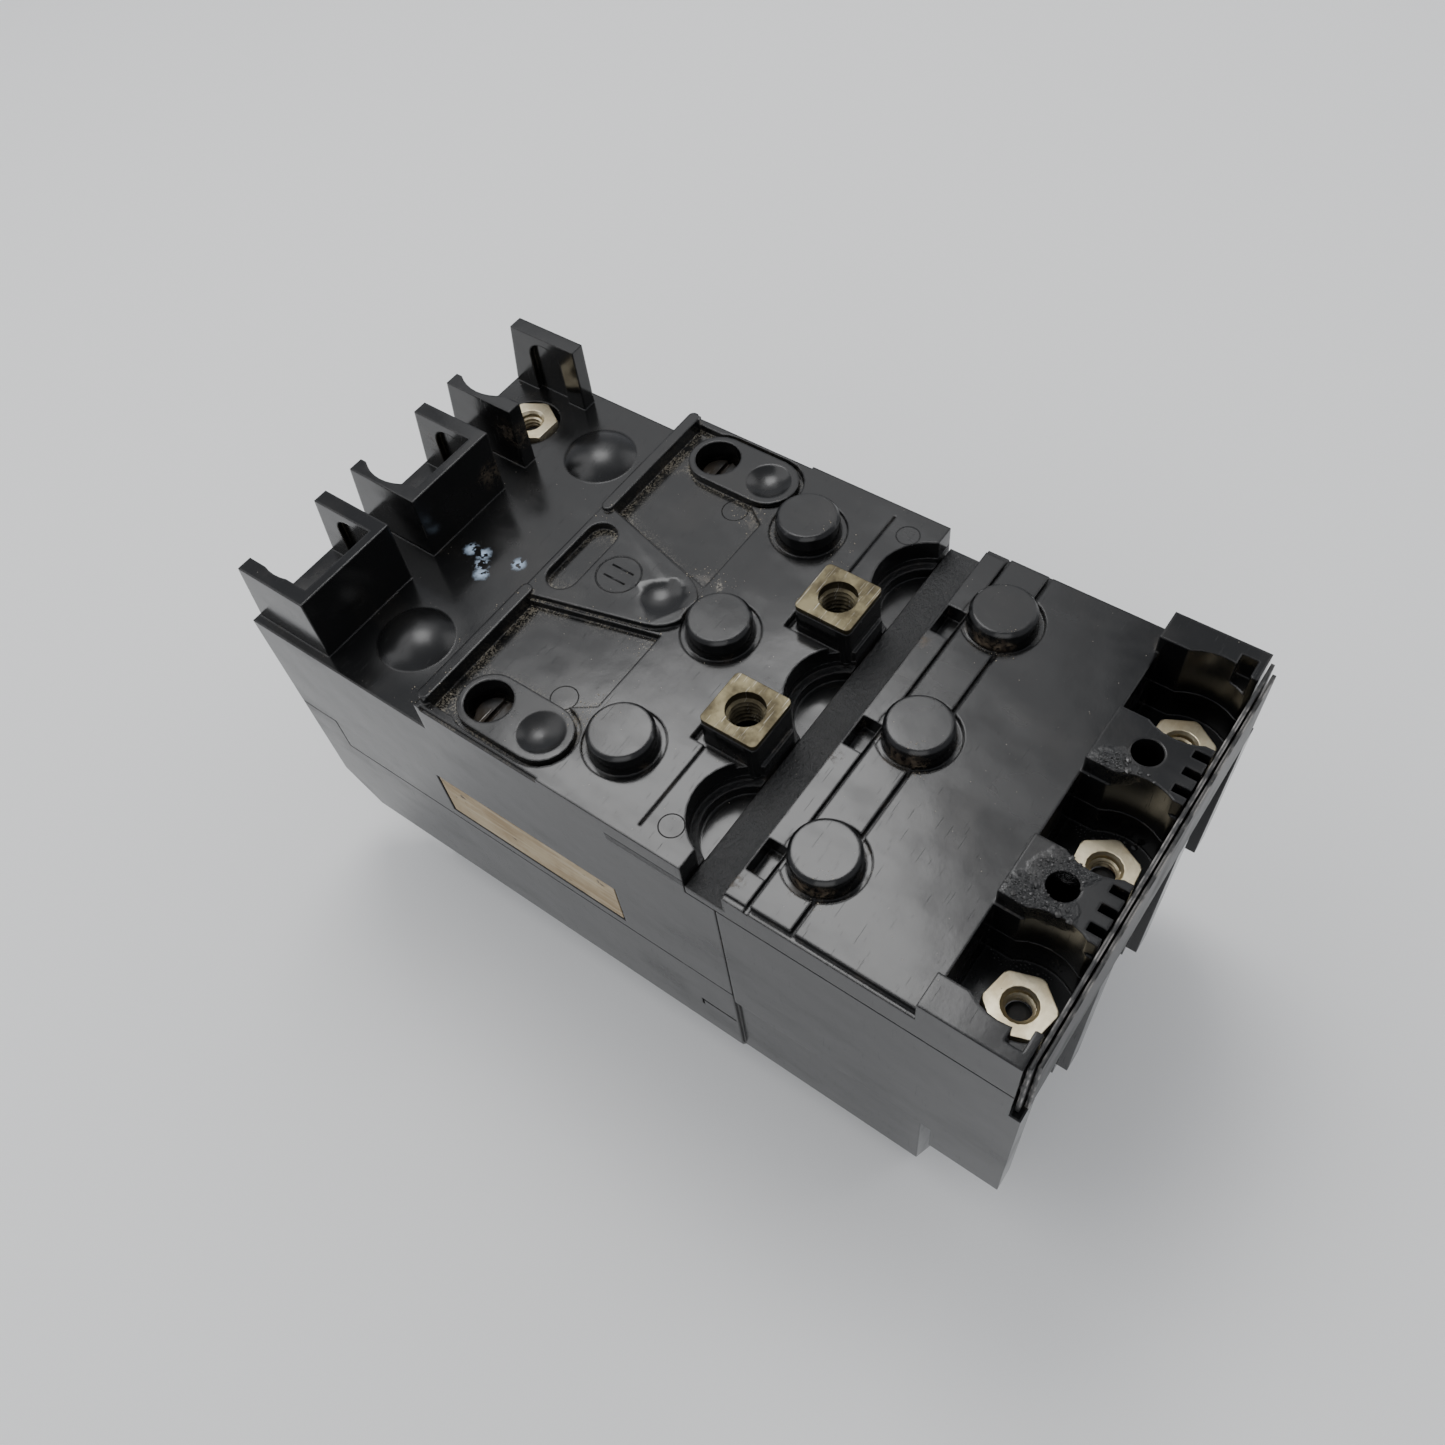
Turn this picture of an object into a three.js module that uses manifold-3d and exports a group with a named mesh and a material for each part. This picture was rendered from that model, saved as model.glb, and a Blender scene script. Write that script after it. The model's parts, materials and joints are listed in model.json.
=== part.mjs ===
// Three-pole molded case circuit breaker, lying on its front with its back face up.
// Millimetres. +X runs across the poles, +Y runs to the line end, +Z is up, away from the front.
import * as THREE from 'three';
import * as BufferGeometryUtils from 'three/addons/utils/BufferGeometryUtils.js';
import Module from 'manifold-3d';

const wasm = await Module();
wasm.setup();

// ---------- driving dimensions ----------
const POLE_PITCH = 25.4;
const WIDTH = 76.2;
const LENGTH = 152;
const GAP = 0.3; // kept between pieces that touch
const CUT = 1; // how far a cutting solid runs past a face
const WALL = 2.7;

// ---------- levels ----------
const Z_FIN = 83.3; // top of the barrier fins
const Z_POST = 80; // top of the posts, bosses and end walls
const Z_MAIN = 76.3; // back face
const Z_LOW = 69.5; // lower back face at the line end
const Z_SEAM = 69.3; // rear plate of the trip unit stands on this level
const Z_PART = 36.2; // seam between base and front cover
const Z_STEP = 44.8; // the same seam, stepped up at the line end
const Z_TRIP = 33.3; // seam between trip unit and front cover
const Z_TRIP_END = 25.2; // front of the trip unit at the load end
const TROUGH_RISE = 2; // floor of the trough over the seam
const RIDGE_RISE = 1.7;
const PAD_RISE = 1;
const INSERT_RISE = 1; // top of the metal inserts over the posts

// ---------- across the poles ----------
const HALF_W = WIDTH / 2;
const POLES = [-POLE_PITCH, 0, POLE_PITCH];
const MIDS = [-POLE_PITCH / 2, POLE_PITCH / 2];
const DIVIDER = 3.4; // wall between two pole chambers
const CHAMBER_HALF = (POLE_PITCH - DIVIDER) / 2;
const POCKET_HALF = CHAMBER_HALF - 2; // terminal pockets, open to the front and the ends
const TRIP_HALF = CHAMBER_HALF - 0.5;
const WELL_HALF = CHAMBER_HALF - 3.9; // nut wells at the load end
const FIN_T = 2.8;
const FIN_IN = 6.9; // from the middle of a pole to its fins
const FIN_INSET = 1.7; // outer fins in from the side faces
const TRACK_INSET = 7.1;

// ---------- line end, from its end face ----------
const Y_LINE = LENGTH / 2;
const Y_LOW = Y_LINE - 42.3; // step from the main back face to the lower one
const RIDGE_R = 1.05;
const Y_RIDGE = Y_LOW - RIDGE_R;
const Y_FIN = Y_LINE - 17.8;
const Y_FIN_TOP = Y_LINE - 2.4;
const Y_FIN_FOOT = Y_LINE - 0.4;
const BACK_WALL_T = 1.8;
const Y_NUT_LINE = Y_LINE - 10.7;
const Y_POCKET_LINE = Y_LINE - 20.4;
const Y_STEP = Y_LINE - 9.2;
const Y_DOME = Y_LOW + 14.1;

// ---------- load end, from its end face ----------
const Y_LOAD = -LENGTH / 2;
const SHEET_T = 0.6; // one barrier sheet at the load end
const Y_BODY_END = Y_LOAD + 2 * (SHEET_T + GAP);
const Y_NUT_LOAD = Y_LOAD + 7.6;
const Y_MOUNT = Y_LOAD + 9.6;
const Y_POCKET_LOAD = Y_LOAD + 13;
const Y_TRIP_BLOCK = Y_LOAD + 12.6;
const Y_COVER_END = Y_LOAD + 14.8;
const Y_PLATE_END = Y_LOAD + 16.6; // end of the plate, start of the nut wells
const MOUNT_R = 2.4;

// ---------- middle of the back face ----------
const Y_POST_A = 0.6;
const Y_POST_B = -36.4;
const POST_R = 5.0;
const Y_SPLIT = -25; // base meets trip unit below the seam
const Y_EDGE = -19.6; // base meets trip unit above the seam
const Y_STRIP = -26.9; // stepped strip of the rear plate
const Y_RAISED = -30.8; // full height of the rear plate
const Y_BEND = -38.7; // groove past the second row of posts
const Y_INSERT = -13.8;
const INSERT_SIDE = 10.3;
const INSERT_T = 0.9;
const INSERT_CORNER = 0.9; // corner radius
const INSERT_BORE_R = 3.2;
const SLEEVE_R = 4.2; // round sleeve under the insert's square head
const SLEEVE_L = 7;
const Y_DISH = 12.6;
const DISH_R = 4; // shallow round dishes beside the racetrack holes and on the middle pad
const TRACK_DISH_DEPTH = 1.35;
const PAD_DISH_DEPTH = 1.1;
const Y_TRACK_HOLE = 23.6;
const TRACK_R = 5.3;
const SCALLOP_R = 9.5;

// ---------- nuts ----------
const NUT_AF = 9.4;
const NUT_T = 3.8;
const NUT_BORE_R = 2.35;
const NUT_TURN = [-11, 4, -3]; // degrees, one for each load-side nut
const Z_NUT_LINE = Z_LOW - 3.5; // floor under the line-side nuts
const Z_NUT_LOAD = Z_SEAM - 6.6; // floor under the load-side nuts

// ---------- inside ----------
const CHAMBER_Y = [-12, 48];
const Z_CHAMBER = Z_LOW - 3.5;
const STRAP_T = 2.5;
const STRAP_HALF = 6;
const Z_STRAP_LINE = Z_LOW - 9.9;
const Z_STRAP_LOAD = Z_SEAM - 14.3;
const Z_TRIP_TOP = Z_SEAM - 9.3; // roof of the trip unit's chambers
const LINK_Z = Z_SEAM - 21.5;
const LINK_T = 2.4;
const HANDLE_AXIS = { y: 5, z: 44 };
const HANDLE_REST = -16; // degrees from the middle of the throw, off position
const HANDLE_TIP_R = 42.4;
const ARM_TOP = Z_STRAP_LINE - 5.2; // back of a contact arm when closed
const ARM_AXIS = { y: -4, z: ARM_TOP - 3.3 };
const ARM_REST = -18; // degrees from closed, contacts open
const TRIP_AXIS = { y: -44, z: Z_TRIP + 10.7 };
const SCREW_Y = [51, Y_SPLIT + 5];
const SCREWS = SCREW_Y.flatMap((y) => MIDS.map((x) => [x, y]));
const WELL = { half: 16.4, y0: -16, y1: 28, depth: 16 }; // handle well in the front cover
const COVER_FLANK = { in: 7, rise: 12 }; // slope along the long edges of the cover
const BUTTON = { x: MIDS[1], y: -34.5, r: 2.6 };
const LABEL = { y0: -2, y1: 37.8, z0: 38.8, z1: 50.2 };

// ---------- materials ----------
function material(name, color, roughness, metalness) {
  return new THREE.MeshStandardMaterial({ name, color, roughness, metalness });
}
const PHENOLIC = material('black_phenolic', 0x0d0d0f, 0.28, 0);
const HANDLE_PLASTIC = material('black_handle', 0x101012, 0.4, 0);
const BRONZE = material('bronze_insert', 0x6f6648, 0.45, 0.8);
const ZINC = material('zinc_nut', 0xd6ceb4, 0.35, 0.8);
const STEEL = material('plated_steel', 0x8d9093, 0.4, 0.9);
const COPPER = material('copper_strap', 0xb06a44, 0.35, 0.9);
const SILVER = material('silver_contact', 0xc9c9c4, 0.3, 0.9);
const FIBRE = material('dark_fibre', 0x17171a, 0.6, 0);
const RED = material('red_button', 0xa11a16, 0.4, 0);
const PAPER = material('tan_label', 0xb89a72, 0.8, 0);
const BIMETAL = material('bimetal_strip', 0x9a8f78, 0.4, 0.9);

// ---------- solid helpers ----------
function signedVolume(position, index) {
  let sum = 0;
  const a = new THREE.Vector3();
  const b = new THREE.Vector3();
  const c = new THREE.Vector3();
  for (let i = 0; i < index.length; i += 3) {
    a.fromArray(position, 3 * index[i]);
    b.fromArray(position, 3 * index[i + 1]);
    c.fromArray(position, 3 * index[i + 2]);
    sum += a.dot(b.cross(c));
  }
  return sum / 6;
}

function solid(geometry) {
  const bare = geometry.clone();
  bare.deleteAttribute('normal');
  bare.deleteAttribute('uv');
  const merged = BufferGeometryUtils.mergeVertices(bare, 1e-4);
  const vertProperties = new Float32Array(merged.attributes.position.array);
  const triVerts = new Uint32Array(merged.index.array);
  if (signedVolume(vertProperties, triVerts) < 0) {
    for (let i = 0; i < triVerts.length; i += 3) {
      const swap = triVerts[i];
      triVerts[i] = triVerts[i + 1];
      triVerts[i + 1] = swap;
    }
  }
  return new wasm.Manifold(new wasm.Mesh({ numProp: 3, vertProperties, triVerts }));
}

function join(...parts) {
  return parts.flat().reduce((sum, part) => sum.add(part));
}

function cut(body, ...tools) {
  return tools.flat().reduce((rest, tool) => rest.subtract(tool), body);
}

function box(x0, x1, y0, y1, z0, z1) {
  const g = new THREE.BoxGeometry(x1 - x0, y1 - y0, z1 - z0);
  g.translate((x0 + x1) / 2, (y0 + y1) / 2, (z0 + z1) / 2);
  return solid(g);
}

function outline(points) {
  return new THREE.Shape(points.map(([u, v]) => new THREE.Vector2(u, v)));
}

function prismZ(points, z0, z1) {
  const g = new THREE.ExtrudeGeometry(outline(points), { depth: z1 - z0, bevelEnabled: false });
  g.translate(0, 0, z0);
  return solid(g);
}

// points are (y, z) pairs, extruded along X
function prismX(points, x0, x1) {
  const g = new THREE.ExtrudeGeometry(outline(points), { depth: x1 - x0, bevelEnabled: false });
  const turn = new THREE.Matrix4().makeBasis(
    new THREE.Vector3(0, 1, 0),
    new THREE.Vector3(0, 0, 1),
    new THREE.Vector3(1, 0, 0),
  );
  g.applyMatrix4(turn);
  g.translate(x0, 0, 0);
  return solid(g);
}

// points are (x, z) pairs, extruded along Y
function prismY(points, y0, y1) {
  const g = new THREE.ExtrudeGeometry(outline(points), { depth: y1 - y0, bevelEnabled: false });
  g.rotateX(Math.PI / 2);
  g.translate(0, y1, 0);
  return solid(g);
}

// a box given by one face towards x = 0 and one away from it, on the side with that sign
function sideBox(side, xIn, xOut, y0, y1, z0, z1) {
  return box(Math.min(side * xIn, side * xOut), Math.max(side * xIn, side * xOut), y0, y1, z0, z1);
}

function coneZ(x, y, r0, r1, z0, z1, sides = 24) {
  const g = new THREE.CylinderGeometry(r1, r0, z1 - z0, sides);
  g.rotateX(Math.PI / 2);
  g.translate(x, y, (z0 + z1) / 2);
  return solid(g);
}

function rodZ(x, y, r, z0, z1, sides = 24) {
  return coneZ(x, y, r, r, z0, z1, sides);
}

function rodX(y, z, r, x0, x1, sides = 24) {
  const g = new THREE.CylinderGeometry(r, r, x1 - x0, sides);
  g.rotateZ(Math.PI / 2);
  g.translate((x0 + x1) / 2, y, z);
  return solid(g);
}

// a slot with round ends, its two end centres given, standing along Z
function slotZ(xa, ya, xb, yb, r, z0, z1, half = 10) {
  const along = Math.atan2(yb - ya, xb - xa);
  const points = [];
  for (let i = 0; i <= half; i += 1) {
    const t = along - Math.PI / 2 + (Math.PI * i) / half;
    points.push([xb + r * Math.cos(t), yb + r * Math.sin(t)]);
  }
  for (let i = 0; i <= half; i += 1) {
    const t = along + Math.PI / 2 + (Math.PI * i) / half;
    points.push([xa + r * Math.cos(t), ya + r * Math.sin(t)]);
  }
  return prismZ(points, z0, z1);
}

// A shallow round bowl sunk below top, as a stack of cones.
function bowl(x, y, r, depth, top) {
  const sphere = (r * r + depth * depth) / (2 * depth);
  const sunk = (radius) => top - depth + sphere - Math.sqrt(sphere * sphere - radius * radius);
  const radii = [0.3 * r, 0.55 * r, 0.78 * r, r];
  let made = coneZ(x, y, 0.02, radii[0], top - depth, sunk(radii[0]));
  for (let i = 1; i < radii.length; i += 1) {
    made = join(made, coneZ(x, y, radii[i - 1], radii[i], sunk(radii[i - 1]), sunk(radii[i])));
  }
  return join(made, rodZ(x, y, r, top, top + CUT));
}

// Outline of a square with rounded corners.
function roundedSquare(x, y, half, r) {
  const points = [];
  for (let i = 0; i < 4; i += 1) {
    for (let j = 0; j <= 4; j += 1) {
      const t = (Math.PI / 2) * (i + j / 4);
      const xMid = x + (i === 0 || i === 3 ? 1 : -1) * (half - r);
      const yMid = y + (i < 2 ? 1 : -1) * (half - r);
      points.push([xMid + r * Math.cos(t), yMid + r * Math.sin(t)]);
    }
  }
  return points;
}

function hexNut(x, y, z0, turn = 0) {
  const corner = NUT_AF / Math.sqrt(3);
  const hex = [];
  for (let i = 0; i < 6; i += 1) {
    const t = (Math.PI * i) / 3 + THREE.MathUtils.degToRad(turn);
    hex.push([x + corner * Math.cos(t), y + corner * Math.sin(t)]);
  }
  const top = z0 + NUT_T;
  const chamfer = 0.2;
  const round = join(
    rodZ(x, y, corner + CUT, z0 - CUT, top - chamfer, 18),
    coneZ(x, y, corner + 0.05, corner - 0.25, top - chamfer - 0.01, top + 0.001, 24),
  );
  const body = prismZ(hex, z0, top).intersect(round);
  return cut(
    body,
    rodZ(x, y, NUT_BORE_R, z0 - CUT, top + CUT, 16),
    coneZ(x, y, NUT_BORE_R, NUT_BORE_R + 0.55, top - 0.5, top + 0.05, 16),
  );
}

const group = new THREE.Group();

function place(name, body, look, pivot = null, degrees = 0) {
  const made = body.getMesh();
  const geometry = new THREE.BufferGeometry();
  const position = new Float32Array(made.vertProperties);
  if (pivot) {
    for (let i = 0; i < position.length; i += 3) {
      position[i + 1] -= pivot.y;
      position[i + 2] -= pivot.z;
    }
  }
  geometry.setAttribute('position', new THREE.BufferAttribute(position, 3));
  geometry.setIndex(new THREE.BufferAttribute(new Uint32Array(made.triVerts), 1));
  geometry.computeVertexNormals();
  const mesh = new THREE.Mesh(geometry, look);
  mesh.name = name;
  if (pivot) {
    mesh.position.set(0, pivot.y, pivot.z);
    mesh.rotation.x = THREE.MathUtils.degToRad(degrees);
  }
  group.add(mesh);
}

// one round post standing in a shallow ring
function post(x, y, top) {
  return join(
    coneZ(x, y, POST_R + 0.75, POST_R + 0.45, Z_MAIN - 1.5, top - 0.6, 32),
    coneZ(x, y, POST_R + 0.45, POST_R - 0.1, top - 0.6, top, 32),
  );
}

function mirrorX(points, side) {
  const mirrored = points.map(([x, y]) => [side * x, y]);
  return side > 0 ? mirrored : mirrored.reverse();
}

// ---------- base: line end, pole chambers, back face ----------
const floorZ = Z_MAIN - 1.3; // floor of the shallow fields

// a shallow field, the raised track with its screw hole and dish, and the ridge, on one side
function dressSide(body, side) {
  const xOut = HALF_W - FIN_INSET;
  const xTrack = side * (HALF_W - TRACK_INSET);
  const yEnd = Y_RIDGE - RIDGE_R;
  const corners = [[xOut, yEnd], [11.7, yEnd], [5.9, 8.3], [22.3, 8.3], [25.4, 12.8], [xOut, 25]];
  const field = mirrorX(corners, side);
  const top = Z_MAIN + CUT;
  let made = cut(
    body,
    prismZ(field, floorZ, top),
    slotZ(xTrack, Y_DISH, xTrack, Y_TRACK_HOLE, TRACK_R + 0.9, floorZ, top),
    sideBox(side, HALF_W - 0.45, HALF_W + CUT, 8, Y_RIDGE, Z_MAIN - 0.9, top),
  );
  made = join(
    made,
    slotZ(xTrack, Y_DISH, xTrack, Y_TRACK_HOLE, TRACK_R, floorZ - 0.5, Z_MAIN + 0.3),
    slotZ(side * (xOut - 0.4), Y_RIDGE, side * 11, Y_RIDGE, RIDGE_R, Z_MAIN - 2, Z_MAIN + RIDGE_RISE, 8),
  );
  return cut(
    made,
    rodZ(xTrack, Y_TRACK_HOLE, 4.1, Z_MAIN - 5.5, top),
    rodZ(xTrack, Y_TRACK_HOLE, 1.9, Z_MAIN - 9.5, Z_MAIN, 16),
    bowl(xTrack, Y_DISH, DISH_R, TRACK_DISH_DEPTH, Z_MAIN + 0.3),
    box(side * 27 - 8.5, side * 27 + 8.5, -10.5, -10.1, Z_MAIN - 0.35, top),
  );
}

// everything in the base that belongs to one pole
function cutPole(body, x) {
  const strapTop = Z_STRAP_LINE + STRAP_T + GAP;
  const made = cut(
    body,
    rodZ(x, Y_POST_A, POST_R + 1.7, Z_MAIN - 0.5, Z_MAIN + CUT, 32),
    rodZ(x, Y_EDGE - 3.5, SCALLOP_R, Z_MAIN - 5.2, Z_MAIN + CUT, 32),
    rodZ(x, Y_EDGE - 3.5, SCALLOP_R - 1.3, Z_SEAM - GAP, Z_MAIN + CUT, 32),
    box(x - CHAMBER_HALF, x + CHAMBER_HALF, CHAMBER_Y[0], CHAMBER_Y[1], Z_PART - CUT, Z_CHAMBER),
    box(x - POCKET_HALF, x + POCKET_HALF, Y_POCKET_LINE, Y_LINE + CUT, Z_PART - CUT, strapTop),
    box(x - STRAP_HALF - GAP, x + STRAP_HALF + GAP, 40, Y_POCKET_LINE + CUT, Z_STRAP_LINE - GAP, strapTop),
    box(x - 5, x + 5, Y_SPLIT - CUT, CHAMBER_Y[0] + CUT, LINK_Z - 1.8, LINK_Z + LINK_T + 1.8),
  );
  return join(made, post(x, Y_POST_A, Z_POST));
}

// the seat of one metal insert, and the passage under it between two chambers
function seatInsert(body, x) {
  const h = INSERT_SIDE / 2;
  const round = h + 1.2;
  const head = Z_POST + INSERT_RISE - INSERT_T - GAP;
  let made = cut(body, box(x - round, x + round, Y_INSERT - 8, Y_INSERT + round, Z_MAIN - 1.5, Z_MAIN + CUT));
  const foot = Z_SEAM + TROUGH_RISE + GAP;
  made = join(made, prismZ(roundedSquare(x, Y_INSERT, h, INSERT_CORNER), foot, head));
  return cut(
    made,
    rodZ(x, Y_INSERT, SLEEVE_R + GAP, head - SLEEVE_L, Z_POST + CUT),
    rodZ(x, Y_INSERT, INSERT_BORE_R + 0.2, Z_SEAM + 1, Z_POST + CUT),
    box(x - 2.5, x + 2.5, CHAMBER_Y[0] + 0.5, 5, Z_PART - CUT, ARM_TOP + 5),
  );
}

// fins, back wall, round clearance and floor of one line-side nut well
function finWell(body, x) {
  const outline = [
    [Y_FIN_FOOT, Z_LOW - 2], [Y_FIN_FOOT, Z_LOW], [Y_FIN_TOP, Z_FIN], [Y_FIN, Z_FIN], [Y_FIN, Z_LOW - 2],
  ];
  const outer = HALF_W - FIN_INSET;
  const left = x - POLE_PITCH < -HALF_W ? -outer : x - FIN_IN - FIN_T;
  const right = x + POLE_PITCH > HALF_W ? outer : x + FIN_IN + FIN_T;
  let made = join(body, prismX(outline, left, left + FIN_T), prismX(outline, right - FIN_T, right));
  if (x < POLE_PITCH / 2) {
    made = join(made, box(left, right, Y_FIN, Y_FIN + BACK_WALL_T, Z_LOW - 1, Z_FIN));
  }
  const yScoop = Y_NUT_LINE + 1.9;
  const scoop = rodZ(x, yScoop, FIN_IN + 1.7, Z_LOW, Z_FIN + CUT, 40);
  const nearHalf = box(x - POLE_PITCH / 2 - 2, x, Y_FIN + BACK_WALL_T + 0.6, Y_LINE, Z_LOW, Z_FIN + CUT);
  made = cut(made, scoop.intersect(nearHalf));
  const arch = { y0: Y_FIN + 4.2, y1: Y_FIN + 11.8 };
  const rArch = (arch.y1 - arch.y0) / 2;
  const zArch = Z_FIN - 1.8 - rArch;
  const xIn = right - FIN_T - CUT;
  const xBack = right - FIN_T + 1.1;
  made = cut(
    made,
    box(xIn, xBack, arch.y0, arch.y1, Z_LOW, zArch),
    rodX((arch.y0 + arch.y1) / 2, zArch, rArch, xIn, xBack, 24),
  );
  return cut(
    made,
    rodZ(x, Y_NUT_LINE, NUT_AF / Math.sqrt(3) + 0.4, Z_NUT_LINE, Z_LOW + CUT, 36),
    rodZ(x, Y_NUT_LINE, 3, Z_STRAP_LINE, Z_LOW + CUT, 16),
  );
}

function buildBase() {
  const padTop = Z_MAIN + PAD_RISE;
  const yPad = Y_DISH - 1.4;
  const padOutline = [[-11.4, Y_RIDGE], [-5.9, yPad], [5.9, yPad], [11.4, Y_RIDGE]];
  let body = join(
    box(-HALF_W, HALF_W, Y_SPLIT, Y_LINE, Z_PART, Z_SEAM - GAP),
    box(-HALF_W, HALF_W, Y_EDGE, Y_LINE, Z_SEAM - 2, Z_MAIN),
  );
  body = cut(
    body,
    box(-HALF_W - CUT, HALF_W + CUT, Y_LOW, Y_LINE + CUT, Z_LOW, Z_FIN + CUT),
    box(-HALF_W - CUT, HALF_W + CUT, Y_STEP, Y_LINE + CUT, Z_PART - CUT, Z_STEP),
  );
  body = dressSide(body, -1);
  body = dressSide(body, 1);
  body = join(
    body,
    prismZ(padOutline, Z_MAIN - 2, padTop),
    rodZ(0, Y_DISH, 6, Z_MAIN - 2, padTop),
    box(-11.5, 11.5, Y_RIDGE - 0.5, Y_RIDGE + RIDGE_R, Z_MAIN - 2, padTop),
  );
  body = cut(
    body,
    slotZ(-5.2, Y_RIDGE - 3.05, 5.2, Y_RIDGE - 3.05, 2.9, padTop - 1.6, padTop + CUT),
    bowl(0, Y_DISH, DISH_R, PAD_DISH_DEPTH, padTop),
  );
  for (const x of POLES) {
    body = cutPole(body, x);
  }
  for (const x of MIDS) {
    body = seatInsert(body, x);
  }
  for (const x of POLES) {
    body = finWell(body, x);
  }
  // shallow domes on the lower back face
  const domeR = 10.5;
  const domeRise = 2.6;
  for (const x of [POLES[0], POLES[2]]) {
    const ball = new THREE.SphereGeometry(domeR, 40, 40);
    ball.rotateX(Math.PI / 2);
    ball.translate(x, Y_DOME, Z_LOW + domeRise - domeR);
    const cap = box(x - 8, x + 8, Y_DOME - 8, Y_DOME + 8, Z_LOW - 0.3, Z_LOW + 4);
    body = join(body, solid(ball).intersect(cap));
  }
  // recess for the side label and bores for the cover screws
  const deep = -HALF_W + 0.6;
  body = cut(body, box(-HALF_W - CUT, deep, LABEL.y0 - 0.5, LABEL.y1 + 0.5, LABEL.z0 - 0.4, LABEL.z1 + 0.4));
  for (const [x, y] of SCREWS) {
    body = cut(body, rodZ(x, y, 1.6, Z_PART - CUT, 52, 16));
  }
  return body;
}

// ---------- rear plate of the trip unit ----------
// one load-side nut well, a slot open to the load end with a round clearance over the nut
function loadWell(x, z0) {
  return join(
    box(x - WELL_HALF, x + WELL_HALF, Y_BODY_END - CUT, Y_PLATE_END, z0, Z_POST + CUT),
    rodZ(x, Y_NUT_LOAD, WELL_HALF + 1.5, z0, Z_POST + CUT, 32),
  );
}

function buildRearPlate() {
  const all = HALF_W + CUT;
  const top = Z_MAIN + CUT;
  let body = box(-HALF_W, HALF_W, Y_BODY_END, Y_EDGE - GAP, Z_SEAM, Z_MAIN);
  body = cut(
    body,
    box(-all, all, Y_STRIP, Y_EDGE + CUT, Z_SEAM + TROUGH_RISE, top),
    box(-all, all, Y_RAISED, Y_STRIP + 0.5, Z_MAIN - 0.8, top),
    box(-all, all, Y_RAISED - 0.7, Y_RAISED + 0.1, Z_MAIN - 1.6, top),
    box(-all, all, Y_BEND - 0.3, Y_BEND + 0.4, Z_MAIN - 1.1, top),
  );
  for (const side of [-1, 1]) {
    body = cut(body, sideBox(side, HALF_W - 0.9, all, Y_PLATE_END, Y_STRIP, Z_MAIN - 1.3, top));
  }
  for (const x of POLES) {
    body = cut(
      body,
      box(x - 7, x - 1, Y_RAISED + 0.2, Y_STRIP - 0.4, Z_MAIN - 4, top),
      rodZ(x, Y_POST_B, POST_R + 1.7, Z_MAIN - 0.9, top, 32),
    );
    body = join(body, post(x, Y_POST_B, Z_POST - 0.5));
  }
  // raised bosses with the mounting holes, and the end walls, between the nut wells
  const bossHalf = POLE_PITCH / 2 - WELL_HALF - 0.3;
  for (const x of MIDS) {
    body = join(body, box(x - bossHalf, x + bossHalf, Y_BODY_END, Y_PLATE_END, Z_SEAM, Z_POST));
  }
  for (const side of [-1, 1]) {
    body = join(body, sideBox(side, HALF_W - 5.6, HALF_W, Y_BODY_END, Y_PLATE_END + 0.6, Z_SEAM, Z_POST));
  }
  for (const x of POLES) {
    body = cut(body, loadWell(x, Z_SEAM - CUT));
  }
  for (const x of MIDS) {
    body = cut(body, rodZ(x, Y_MOUNT, MOUNT_R, Z_SEAM - CUT, Z_POST + CUT));
    for (const dx of [-3.3, 0, 3.3]) {
      const xSlot = x + dx;
      const yIn = Y_BODY_END + 2.4;
      body = cut(body, box(xSlot - 0.75, xSlot + 0.75, Y_BODY_END - CUT, yIn, Z_MAIN - 1, Z_POST + CUT));
    }
  }
  for (const side of [-1, 1]) {
    const notch = sideBox(side, HALF_W - 6, HALF_W - 2.2, Y_LOAD + 3, Y_LOAD + 5.6, Z_MAIN - 1, Z_POST + CUT);
    body = cut(body, notch);
  }
  return body;
}

// ---------- trip unit housing ----------
function buildTripHousing() {
  const top = Z_SEAM - GAP;
  const strapTop = Z_STRAP_LOAD + STRAP_T + GAP;
  let body = join(
    box(-HALF_W, HALF_W, Y_BODY_END, Y_SPLIT - GAP, Z_TRIP, top),
    box(-HALF_W, HALF_W, Y_BODY_END, Y_TRIP_BLOCK, Z_TRIP_END, Z_TRIP + CUT),
  );
  for (const x of POLES) {
    body = cut(
      body,
      loadWell(x, Z_NUT_LOAD),
      box(x - TRIP_HALF, x + TRIP_HALF, -54, -30, Z_TRIP_END - CUT, Z_TRIP_TOP),
      box(x - POCKET_HALF, x + POCKET_HALF, Y_BODY_END - CUT, Y_POCKET_LOAD, Z_TRIP_END - CUT, strapTop),
      box(x - STRAP_HALF - GAP, x + STRAP_HALF + GAP, Y_POCKET_LOAD - CUT, -50, Z_STRAP_LOAD - GAP, strapTop),
      box(x - 5, x + 5, -31, Y_SPLIT + CUT, LINK_Z - 1.8, LINK_Z + LINK_T + 1.8),
      rodZ(x, Y_NUT_LOAD, 3, Z_STRAP_LOAD, top + CUT, 16),
    );
  }
  for (const x of MIDS) {
    body = cut(
      body,
      box(x - 2.4, x + 2.4, -53, -31, Z_TRIP - CUT, TRIP_AXIS.z + 10),
      rodZ(x, Y_MOUNT, MOUNT_R, Z_TRIP_END - CUT, top + CUT),
    );
  }
  body = cut(body, rodX(TRIP_AXIS.y, TRIP_AXIS.z, 2.8, -HALF_W + 0.8, HALF_W - 0.8));
  // ribs on the load end, and the mounting bores kept clear through them
  for (const x of [-HALF_W + 2, ...MIDS, HALF_W - 2]) {
    body = join(body, box(x - 2, x + 2, Y_LOAD, Y_BODY_END + CUT, Z_TRIP_END, Z_SEAM - 7.8));
  }
  return body;
}

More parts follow.
